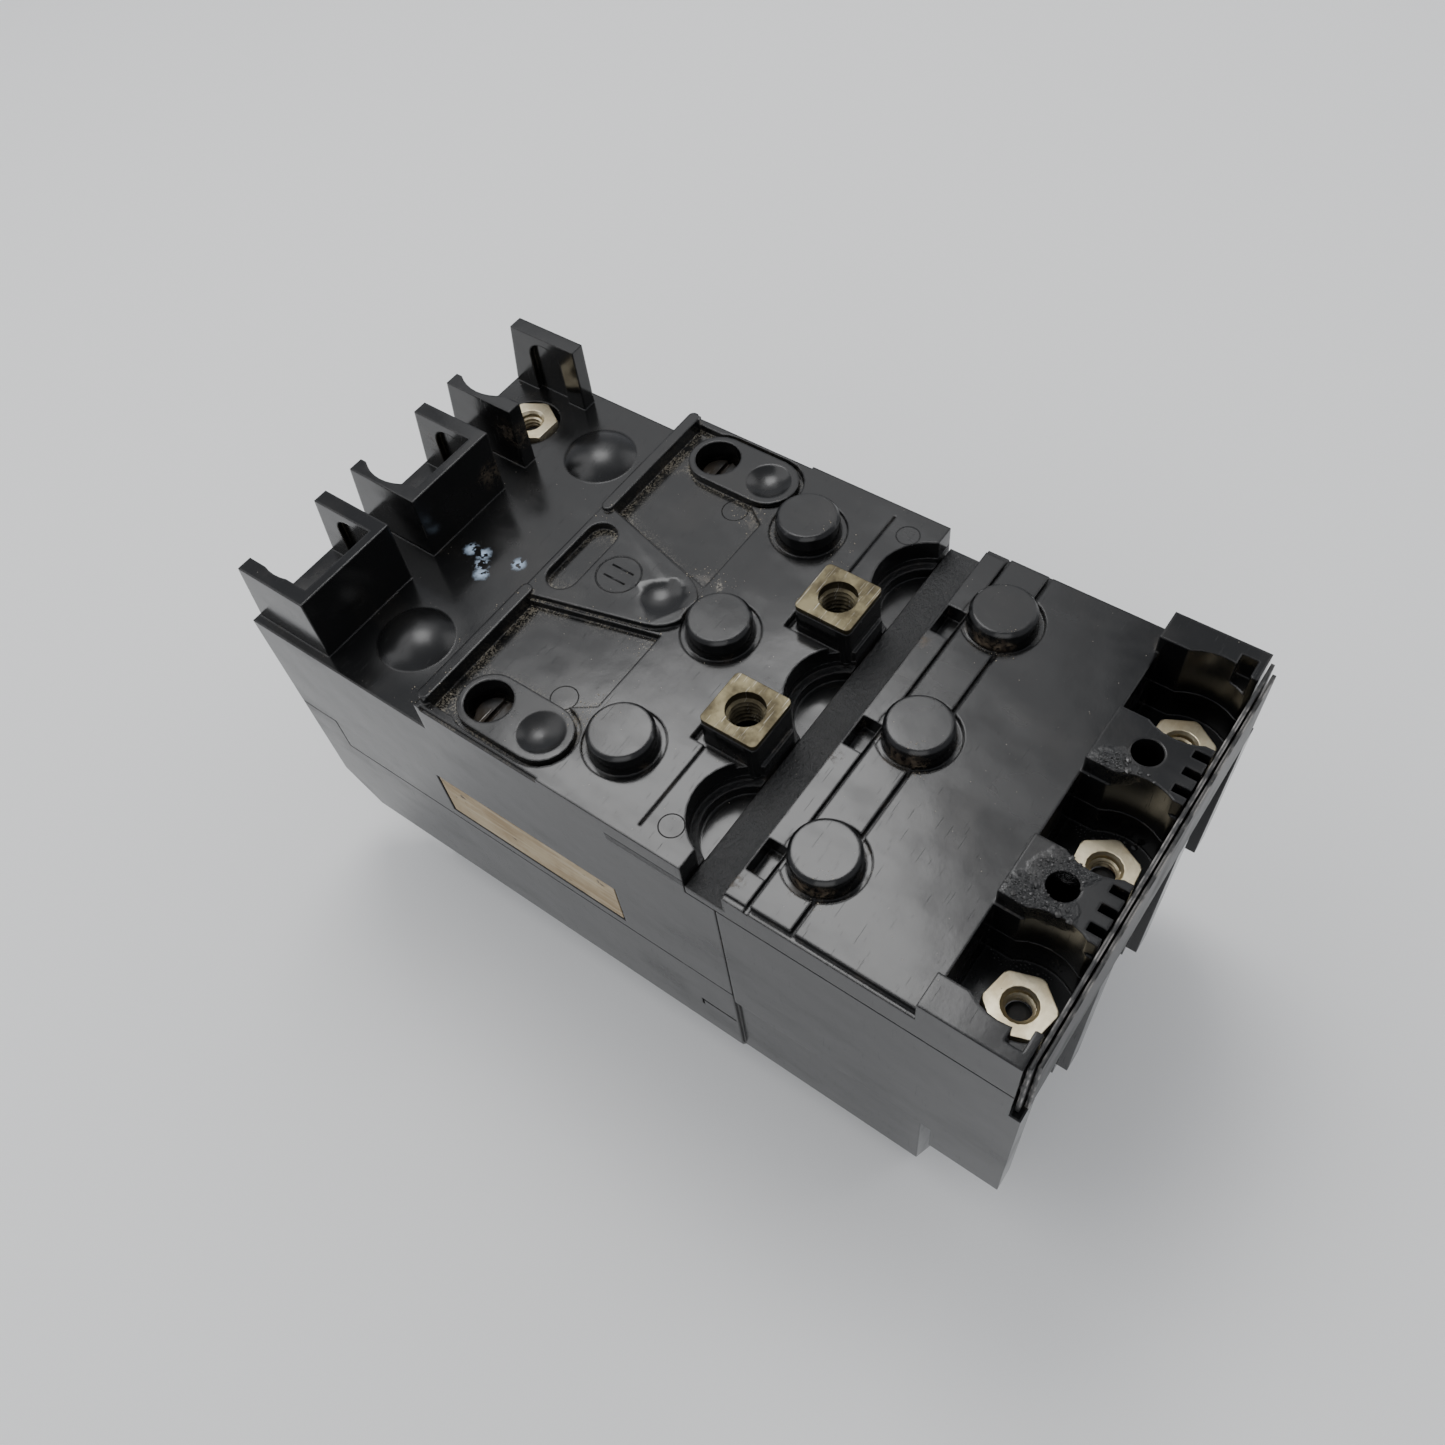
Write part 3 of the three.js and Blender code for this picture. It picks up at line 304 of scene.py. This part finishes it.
def phenolic(name, base, gloss, dirt=1.0, edge_tone=0.09, edge_share=0.22, housing=False):
    """Moulded black phenolic: glossy, lightly scuffed, with specks on top and grime where it gathers."""
    look = Look(name)
    top = look.upward()
    round_edges = look.rounded(0.0005)
    scratches = crossed_scratches(look)
    colour = look.mix(look.times(scratches, 0.10), base, grey(0.12, 0.05))
    worn = look.times(look.edges(round_edges), look.step(look.noise(0.003, 4.0), 0.42, 0.62))
    colour = look.mix(look.times(worn, edge_share), colour, grey(edge_tone, 0.06))
    patches = look.step(look.noise(0.012, 6.0, 0.6), 0.50, 0.70)
    film = look.times(look.times(top, patches), 0.012 * dirt)
    colour = look.mix(film, colour, DUST)
    uneven = look.step(look.noise(0.003, 5.0, 0.6), 0.52, 0.70)
    grime = look.times(look.times(look.hollows(0.0022), uneven), 0.30 * dirt)
    tint = look.mix(look.step(look.noise(0.0016, 4.0), 0.35, 0.65), GRIME, DRY_GRIME)
    smears = look.step(look.noise(0.014, 4.0, 0.6, look.stretched((1, 0.4, 1), (0, 0, 0.6))), 0.45, 0.72)
    dull = look.times(smears, 0.15)
    relief = look.bump(look.noise(0.013, 2.0), 0.00014, round_edges)
    if housing:
        wells = look.around(WELL_WALLS, 8.5, 0.1)
        trough = look.times(look.slab("Z", *TROUGH_Z), look.slab("Y", *TROUGH_Y))
        grime = stained(look, grime, wells)
        dull = less_glossy(look, dull, wells, trough)
        relief = look.bump(broken_relief(look, trough), 0.0009, relief)
    colour = look.mix(grime, colour, tint)
    if housing:
        powder = powder_cover(look, top)
        paint = paint_cover(look, top)
        colour = look.mix(look.times(powder, 0.85), colour, POWDER)
        colour = look.mix(look.times(paint, 0.85), colour, PAINT)
        dull = look.plus(dull, look.times(look.most(powder, paint), 0.6))
    specks = look.times(look.specks(0.0017, 0.00009, 0.42), top)
    colour = look.mix(look.times(specks, 0.6 * dirt), colour, SPECK)
    matte = look.plus(look.times(grime, 0.7), look.times(film, 2.0))
    matte = look.plus(look.plus(matte, dull), look.times(specks, 0.5))
    fine = look.noise(0.0009, 4.0, 0.65)
    scuffs = look.calc("SUBTRACT", look.times(fine, 0.4), look.times(scratches, 0.8))
    look.set(
        Base_Color=colour,
        Roughness=look.calc("ADD", matte, gloss, clamp=True),
        Normal=look.bump(scuffs, 0.000015, relief),
    )
    return look.material


def metal(name, base, tarnish, gloss, grain, dirt=0.5):
    """Plated or bare metal with tarnish clouds, fine grain and grime in its corners."""
    look = Look(name)
    clouds = look.step(look.noise(0.004, 5.0, 0.6), 0.35, 0.7)
    colour = look.mix(clouds, base, tarnish)
    scratches = look.scratches(0.006, 0.00012, (0, 0, 0.7), 0.66)
    colour = look.mix(look.times(scratches, 0.35), colour, grey(0.85, 0.03))
    corner = look.times(look.hollows(0.0025), look.step(look.noise(0.0015, 4.0), 0.35, 0.6))
    corner = look.times(corner, dirt)
    colour = look.mix(corner, colour, GRIME)
    specks = look.times(look.specks(0.0018, 0.00014, 0.4), 0.6 * dirt)
    colour = look.mix(specks, colour, grey(0.09, 0.3))
    rough = look.plus(look.times(clouds, 0.14), gloss)
    look.set(
        Base_Color=colour,
        Metallic=look.calc("SUBTRACT", 1.0, corner, clamp=True),
        Roughness=look.calc("ADD", rough, look.times(corner, 0.5), clamp=True),
        Normal=look.bump(look.noise(grain, 4.0, 0.7), 0.00002, look.rounded(0.0002)),
    )
    return look.material


def paper(name):
    """A worn, faded paper label with streaks along it and bare patches."""
    look = Look(name)
    stain = look.step(look.noise(0.009, 5.0, 0.6), 0.35, 0.7)
    colour = look.mix(stain, (0.40, 0.32, 0.20, 1.0), (0.29, 0.215, 0.125, 1.0))
    streaks = look.step(look.noise(1.0, 4.0, 0.6, look.stretched((1, 70, 900))), 0.45, 0.70)
    colour = look.mix(look.times(streaks, 0.6), colour, (0.50, 0.43, 0.31, 1.0))
    lines = look.step(look.noise(1.0, 3.0, 0.6, look.stretched((1, 110, 1500))), 0.62, 0.70)
    colour = look.mix(look.times(lines, 0.55), colour, (0.16, 0.10, 0.06, 1.0))
    torn = look.step(look.noise(0.004, 6.0, 0.65), 0.64, 0.67)
    colour = look.mix(torn, colour, (0.07, 0.055, 0.045, 1.0))
    look.set(
        Base_Color=colour,
        Roughness=look.step(stain, 0.0, 1.0, 0.62, 0.85),
        Normal=look.bump(look.calc("SUBTRACT", streaks, torn), 0.00006),
    )
    return look.material


def crumb_look(name, light, dark, rough):
    """Loose grains, each cluster its own shade."""
    look = Look(name)
    shade = look.step(look.noise(0.0018, 4.0, 0.6), 0.35, 0.65)
    grain = look.noise(0.00008, 3.0)
    look.set(Base_Color=look.mix(shade, light, dark), Roughness=rough, Normal=look.bump(grain, 0.00002))
    return look.material


def gloss_plastic(name, base, dark):
    """Smooth coloured plastic with faint cloudy wear."""
    look = Look(name)
    clouds = look.step(look.noise(0.003, 4.0), 0.4, 0.7)
    rough = look.plus(look.times(clouds, 0.12), 0.28)
    relief = look.bump(look.noise(0.0007, 3.0), 0.00001)
    look.set(Base_Color=look.mix(clouds, base, dark), Roughness=rough, Normal=relief)
    return look.material


METALS = {  # colour, tarnish, roughness, grain in metres, dirt
    "bronze_insert": ((0.155, 0.135, 0.083, 1), (0.07, 0.058, 0.036, 1), 0.40, 0.0005, 0.9),
    "zinc_nut": ((0.76, 0.68, 0.49, 1), (0.55, 0.46, 0.30, 1), 0.30, 0.0009, 0.8),
    "plated_steel": (grey(0.52), grey(0.36, 0.04), 0.3, 0.0007),
    "black_steel": (grey(0.035), grey(0.02, 0.2), 0.34, 0.0007, 0.9),
    "copper_strap": ((0.66, 0.32, 0.20, 1), (0.40, 0.20, 0.13, 1), 0.28, 0.0007),
    "silver_contact": (grey(0.74, 0.02), grey(0.5, 0.03), 0.26, 0.0005),
    "bimetal_strip": ((0.45, 0.40, 0.31, 1), (0.30, 0.26, 0.20, 1), 0.3, 0.0005),
}
MATERIALS = {slot: metal(slot, *values) for slot, values in METALS.items()}
MATERIALS |= {
    "black_phenolic": phenolic("black_phenolic", grey(0.0055, -0.02), 0.15, housing=True),
    "black_handle": phenolic("black_handle", grey(0.010), 0.32, dirt=0.5),
    "dark_fibre": phenolic("dark_fibre", grey(0.014), 0.42, dirt=0.8, edge_tone=0.42, edge_share=0.9),
    "red_button": gloss_plastic("red_button", (0.42, 0.025, 0.018, 1), (0.26, 0.015, 0.012, 1)),
    "tan_label": paper("tan_label"),
}
DUST_LOOK = crumb_look("settled_dust", (0.44, 0.385, 0.30, 1), (0.22, 0.18, 0.125, 1), 0.9)
CHIP_LOOK = crumb_look("chipped_phenolic", grey(0.012), grey(0.03, 0.05), 0.16)
# Near-black, as dark as the housing: it closes off the bottom of each terminal nut's bore.
BORE_LOOK = crumb_look("dark_bore_plugs", grey(0.006), grey(0.014, 0.2), 0.7)


# ---------- CAD nodes: materials and shading ----------
SMOOTH_ANGLE = 28  # degrees
WELD_GAP = 0.002  # mm


def smooth_by_angle(degrees):
    """A modifier group that shades smooth, except across edges sharper than an angle."""
    group = bpy.data.node_groups.new("smooth_by_angle", "GeometryNodeTree")
    group.interface.new_socket("Geometry", in_out="INPUT", socket_type="NodeSocketGeometry")
    group.interface.new_socket("Geometry", in_out="OUTPUT", socket_type="NodeSocketGeometry")
    start = group.nodes.new("NodeGroupInput")
    end = group.nodes.new("NodeGroupOutput")
    angle = group.nodes.new("GeometryNodeInputMeshEdgeAngle")
    gentle = group.nodes.new("FunctionNodeCompare")
    gentle.operation = "LESS_THAN"
    gentle.inputs["B"].default_value = math.radians(degrees)
    faces = group.nodes.new("GeometryNodeSetShadeSmooth")
    edges = group.nodes.new("GeometryNodeSetShadeSmooth")
    edges.domain = "EDGE"
    group.links.new(start.outputs[0], faces.inputs["Geometry"])
    group.links.new(faces.outputs["Geometry"], edges.inputs["Geometry"])
    group.links.new(angle.outputs["Unsigned Angle"], gentle.inputs["A"])
    group.links.new(gentle.outputs["Result"], edges.inputs["Shade Smooth"])
    group.links.new(edges.outputs["Geometry"], end.inputs[0])
    return group


SMOOTHING = smooth_by_angle(SMOOTH_ANGLE)


def dress(node, slot_name):
    """Gives a CAD node its material and smooth shading on its curves, its own mesh staying as it is."""
    mesh = node.data
    mesh.materials.clear()
    mesh.materials.append(MATERIALS[slot_name])
    weld = node.modifiers.new("weld", "WELD")
    weld.merge_threshold = WELD_GAP * MM
    smooth = node.modifiers.new("smooth", "NODES")
    smooth.node_group = SMOOTHING
    weighted = node.modifiers.new("weighted", "WEIGHTED_NORMAL")
    weighted.mode = "FACE_AREA"
    weighted.weight = 90
    weighted.keep_sharp = True


for row in frame["record"]["subparts"]:
    dress(nodes[row["node"]], row["material_slot"])


# ---------- pieces that are too fine for the CAD model, in mm ----------
ABOVE_ALL = 90.0
LEVEL = 0.95  # upward share of a level face's normal
FOOT = 0.06  # how far a bead or a thread's ridge is sunk into the surface it stands on


def skin(names):
    """A lookup tree over the CAD surface of the named nodes, at rest."""
    points, faces = [], []
    for name in names:
        mesh = nodes[name].data
        first = len(points)
        points.extend(vertex.co.copy() for vertex in mesh.vertices)
        faces.extend(tuple(first + i for i in polygon.vertices) for polygon in mesh.polygons)
    return BVHTree.FromPolygons(points, faces)


SKIN = skin(["base_housing", "rear_plate", "trip_housing"])


def drop(x, y):
    """Height of the first surface under a point, and whether it's level there."""
    place, normal, _, _ = SKIN.ray_cast(Vector((x, y, ABOVE_ALL)) * MM, Vector((0, 0, -1)))
    if place is None:
        return None, False
    return place.z / MM, normal.z > LEVEL


def piece(name, bm, look, smooth=False):
    """Turns a mesh in mm into a piece that rides on the housing."""
    bmesh.ops.scale(bm, vec=(MM, MM, MM), verts=bm.verts)
    bmesh.ops.recalc_face_normals(bm, faces=bm.faces)
    mesh = bpy.data.meshes.new(name)
    bm.to_mesh(mesh)
    bm.free()
    for polygon in mesh.polygons:
        polygon.use_smooth = smooth
    mesh.materials.append(look)
    obj = bpy.data.objects.new(name, mesh)
    bpy.context.scene.collection.objects.link(obj)
    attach(obj, "frame")


def sweep(bm, rings, closed=False):
    """Joins rings of points, each the same length, into a skin, capped unless it closes on itself."""
    made = [[bm.verts.new(point) for point in ring] for ring in rings]
    count = len(made[0])
    spans = list(zip(made, made[1:])) + ([(made[-1], made[0])] if closed else [])
    for low_ring, high_ring in spans:
        for i in range(count):
            j = (i + 1) % count
            bm.faces.new((low_ring[i], low_ring[j], high_ring[j], high_ring[i]))
    if not closed:
        bm.faces.new(made[0][::-1])
        bm.faces.new(made[-1])


def bead_ring(bm, x, y, z, radius, width, rise, steps=40):
    """A low round bead in a circle."""
    profile = [(-width / 2, -FOOT), (-width / 4, rise), (width / 4, rise), (width / 2, -FOOT)]
    rings = []
    for i in range(steps):
        turn = 2 * math.pi * i / steps
        c, s = math.cos(turn), math.sin(turn)
        rings.append([(x + (radius + r) * c, y + (radius + r) * s, z + h) for r, h in profile])
    sweep(bm, rings, closed=True)


def bead_line(bm, start, end, z, width, rise):
    """A low straight bead."""
    along = (Vector(end) - Vector(start)).normalized()
    across = Vector((-along.y, along.x)) * width / 2
    rings = []
    for place in (Vector(start), Vector(end)):
        left, right = place + across, place - across
        inner_left, inner_right = place + across / 2, place - across / 2
        rings.append([
            (left.x, left.y, z - FOOT), (inner_left.x, inner_left.y, z + rise),
            (inner_right.x, inner_right.y, z + rise), (right.x, right.y, z - FOOT),
        ])
    sweep(bm, rings)


def thread(bm, x, y, low, high, radius, pitch=0.8, depth=0.4, steps=24):
    """A helical ridge on the wall of a tapped hole."""
    half_foot = 0.42 * pitch
    half_crest = 0.04
    outer, inner = radius + FOOT, radius - depth
    turns = (high - low - pitch) / pitch
    rings = []
    for i in range(int(turns * steps) + 1):
        turn = 2 * math.pi * i / steps
        z = low + pitch / 2 + pitch * i / steps
        c, s = math.cos(turn), math.sin(turn)
        rings.append([
            (x + outer * c, y + outer * s, z - half_foot),
            (x + inner * c, y + inner * s, z - half_crest),
            (x + inner * c, y + inner * s, z + half_crest),
            (x + outer * c, y + outer * s, z + half_foot),
        ])
    sweep(bm, rings)


def grains(bm, rng, spots, count, small, large, flat=0.6, sink=0.35, tries=12):
    """Irregular grains on the surface around spots of (x, y, radius), none touching another."""
    placed = []
    for _ in range(count):
        for _ in range(tries):
            x0, y0, reach = rng.choice(spots)
            turn = rng.uniform(0, 2 * math.pi)
            away = reach * math.sqrt(rng.random())
            x, y = x0 + away * math.cos(turn), y0 + away * math.sin(turn)
            size = small + (large - small) * rng.random() ** 2.5
            z, level = drop(x, y)
            if z is None or not level:
                continue
            if any((x - a) ** 2 + (y - b) ** 2 < (size + c) ** 2 * 1.2 for a, b, c in placed):
                continue
            placed.append((x, y, size))
            grain = bmesh.ops.create_icosphere(bm, subdivisions=1, radius=size)["verts"]
            squeeze = rng.uniform(0.55, 1.0)
            for vertex in grain:
                vertex.co *= rng.uniform(0.72, 1.0)
                vertex.co.x *= squeeze
            bmesh.ops.rotate(bm, verts=grain, matrix=Matrix.Rotation(rng.uniform(0, 6.3), 3, "Z"))
            for vertex in grain:
                vertex.co.z *= flat
                vertex.co += Vector((x, y, z + size * flat * (1 - 2 * sink)))
            break


def dark_bore_plugs():
    """Near-black plugs at the foot of each terminal nut's thread, closing off the bottom of each bore."""
    plug_r = NUT_BORE_R - 0.45
    profile = [(0.3, 0.0), (plug_r, 0.0), (plug_r, 0.35), (1.2, 0.55), (0.3, 0.6)]  # radius, height
    steps = 28
    turns = [2 * math.pi * i / steps for i in range(steps)]
    bm = bmesh.new()
    for name in TERMINAL_NUTS:
        x, y, bottom, _ = bore(name)
        rings = []
        for radius, height in profile:
            z = bottom + 0.05 + height
            rings.append([(x + radius * math.cos(t), y + radius * math.sin(t), z) for t in turns])
        sweep(bm, rings)
    piece("dark_bore_plugs", bm, BORE_LOOK)


def hole_threads():
    """Threads in the six terminal nuts and the two mounting inserts."""
    bm = bmesh.new()
    for name in TERMINAL_NUTS:
        x, y, bottom, top = bore(name)
        thread(bm, x, y, bottom + 0.2, top - 0.5, NUT_BORE_R)
    piece("nut_threads", bm, MATERIALS["zinc_nut"])
    bm = bmesh.new()
    for name in INSERTS:
        x, y, bottom, top = bore(name)
        thread(bm, x, y, bottom + 0.3, top - 0.7, INSERT_BORE_R, pitch=1.0, depth=0.55)
    piece("insert_threads", bm, MATERIALS["bronze_insert"])


def moulded_marks():
    """Ejector rings, a plain round mark with two bars, and a fine score line on each side."""
    bm = bmesh.new()
    for x, y, radius in ((23.4, 14.6, 2.3), (33.0, -14.4, 2.0)):
        for side in BOTH_SIDES:
            z, level = drop(side * x, y)
            if level:
                bead_ring(bm, side * x, y, z, radius, width=0.3, rise=0.05)
    z, _ = drop(0, Y_MARK)
    bead_ring(bm, 0, Y_MARK, z, 3.9, width=0.45, rise=0.12, steps=56)
    for x in (-1.2, 1.2):
        bead_line(bm, (x, Y_MARK - 2.2), (x, Y_MARK + 2.2), z, width=0.5, rise=0.12)
    for side in BOTH_SIDES:
        z, _ = drop(side * 30, Y_SCORE)
        bead_line(bm, (side * 19.5, Y_SCORE), (side * 37.6, Y_SCORE), z, width=0.22, rise=0.05)
    piece("moulded_marks", bm, MATERIALS["black_phenolic"], smooth=True)


def loose_dirt():
    """Dust in corners and hollows, and chips on the bosses."""
    rng = random.Random(7)
    bm = bmesh.new()
    spots = [(x - 5.0, Y_POST_B - 2.5, 2.6) for x in POLES]
    spots += [(x + 2.0, Y_POST_A + 6.2, 2.6) for x in POLES]
    spots += [(x, y, 3.0) for x, y, _ in FIELD_CORNERS + FIELD_EDGES + POWDER_SPOTS]
    grains(bm, rng, spots, count=620, small=0.04, large=0.17)
    everywhere = [(0.0, 0.0, 60.0)]
    grains(bm, rng, everywhere, count=200, small=0.03, large=0.10)
    piece("settled_dust", bm, DUST_LOOK)
    bm = bmesh.new()
    near, far = X_BOSSES
    spots = [(near - 3.6, Y_BOSS + 5.4, 3.6), (near - 5.0, Y_BOSS + 1.0, 2.6)]
    spots += [(near + 1.0, Y_BOSS + 3.2, 3.4), (near + 4.0, Y_BOSS + 2.0, 2.4)]
    spots += [(far - 5.0, Y_BOSS + 5.0, 3.0), (far - 5.5, Y_BOSS + 0.5, 2.2)]
    grains(bm, rng, spots, count=520, small=0.18, large=0.95, flat=0.34, sink=0.40, tries=40)
    piece("boss_chips", bm, CHIP_LOOK)


dark_bore_plugs()
hole_threads()
moulded_marks()
loose_dirt()


# ---------- stage, in metres ----------
def floor():
    """A plain pale floor, a hair below the part."""
    mesh = bpy.data.meshes.new("floor")
    reach = 3.0
    corners = [(-reach, -reach, 0), (reach, -reach, 0), (reach, reach, 0), (-reach, reach, 0)]
    mesh.from_pydata(corners, [], [(0, 1, 2, 3)])
    ground = bpy.data.objects.new("floor", mesh)
    ground.location.z = -0.0001
    bpy.context.scene.collection.objects.link(ground)
    look = Look("pale_floor")
    tint = look.mix(look.noise(0.25, 2.0), (0.88, 0.88, 0.87, 1), (0.91, 0.91, 0.90, 1))
    look.set(Base_Color=tint, Roughness=0.75)
    mesh.materials.append(look.material)


def area_light(name, place, aim_height, size, power):
    """A soft rectangular light, aimed at a point above the origin."""
    light = bpy.data.lights.new(name, "AREA")
    light.shape = "RECTANGLE"
    light.size, light.size_y = size
    light.energy = power
    lamp = bpy.data.objects.new(name, light)
    bpy.context.scene.collection.objects.link(lamp)
    lamp.location = place
    beam = Vector((0, 0, aim_height)) - Vector(place)
    lamp.rotation_euler = beam.to_track_quat("-Z", "Y").to_euler()


def world(strength):
    """An even, faintly blue sky."""
    sky = bpy.data.worlds.new("soft_sky")
    sky.use_nodes = True
    shade = sky.node_tree.nodes["Background"]
    shade.inputs["Color"].default_value = (0.90, 0.93, 1.0, 1.0)
    shade.inputs["Strength"].default_value = strength
    bpy.context.scene.world = sky


def camera(azimuth, elevation, roll, place, focal):
    """Angles in degrees, place in mm, focal length in widths of the picture."""
    a, e, t = (math.radians(v) for v in (azimuth, elevation, roll))
    back = Vector((math.sin(a) * math.cos(e), -math.cos(a) * math.cos(e), math.sin(e)))
    right = Vector((math.cos(a), math.sin(a), 0))
    up = back.cross(right)
    side = math.cos(t) * right + math.sin(t) * up
    top = math.cos(t) * up - math.sin(t) * right
    data = bpy.data.cameras.new("camera")
    data.sensor_width = 36.0
    data.lens = focal * data.sensor_width
    data.clip_start = 0.01
    cam = bpy.data.objects.new("camera", data)
    bpy.context.scene.collection.objects.link(cam)
    turn = Matrix((side, top, back)).transposed().to_4x4()
    cam.matrix_world = Matrix.Translation(Vector(place) * MM) @ turn
    bpy.context.scene.camera = cam


LIGHTS = [  # name, place, height of its aim, size, watts
    ("key", (-0.25, 0.55, 0.75), 0.05, (0.8, 0.8), 2.9),
    ("sheen", (0.19, 0.20, 0.70), 0.08, (0.28, 0.29), 1.6),
    ("glow", (0.37, 0.28, 0.75), 0.08, (0.5, 0.6), 0.9),
    ("fill", (-0.7, -0.45, 0.45), 0.04, (0.7, 0.5), 1.4),
    ("right", (0.75, -0.35, 0.55), 0.04, (0.7, 0.6), 1.6),
]

floor()
world(0.50)
for light_row in LIGHTS:
    area_light(*light_row)
camera(azimuth=-46.48, elevation=56.03, roll=-9.16, place=(-94.51, -86.33, 240.65), focal=1288.56 / 1445)
